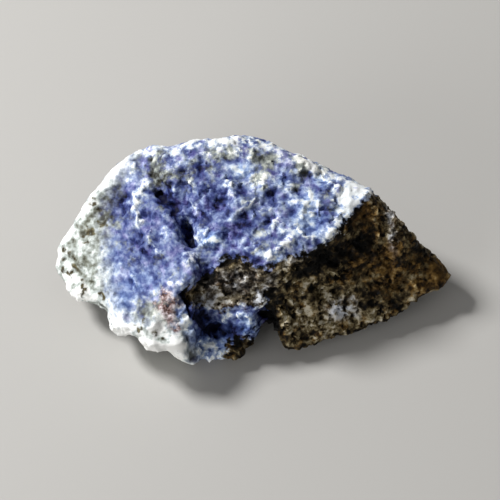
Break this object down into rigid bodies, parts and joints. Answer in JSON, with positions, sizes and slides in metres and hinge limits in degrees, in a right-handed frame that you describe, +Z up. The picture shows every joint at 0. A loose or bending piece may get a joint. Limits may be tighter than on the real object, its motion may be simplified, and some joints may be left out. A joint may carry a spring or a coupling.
{
  "type": "rough sodalite stone",
  "caption": "Rough sodalite broken on every side, indigo to white with a brown weathered shoulder, lying on a small flat spot.",
  "frame": {"origin": "middle of the bounding box in X and Y, at the height of the flat spot that the stone rests on", "axes": "+X along the stone towards its brown tip, +Y away from the side that the broad broken face leans to, +Z up"},
  "size_m": [0.088, 0.0478, 0.0315],
  "materials": {
    "sodalite": "rough broken stone, indigo and lavender grains with white rind, brown and rust stains"
  },
  "bodies": {
    "root": {"sodalite_stone": "sodalite"}
  },
  "joints": []
}
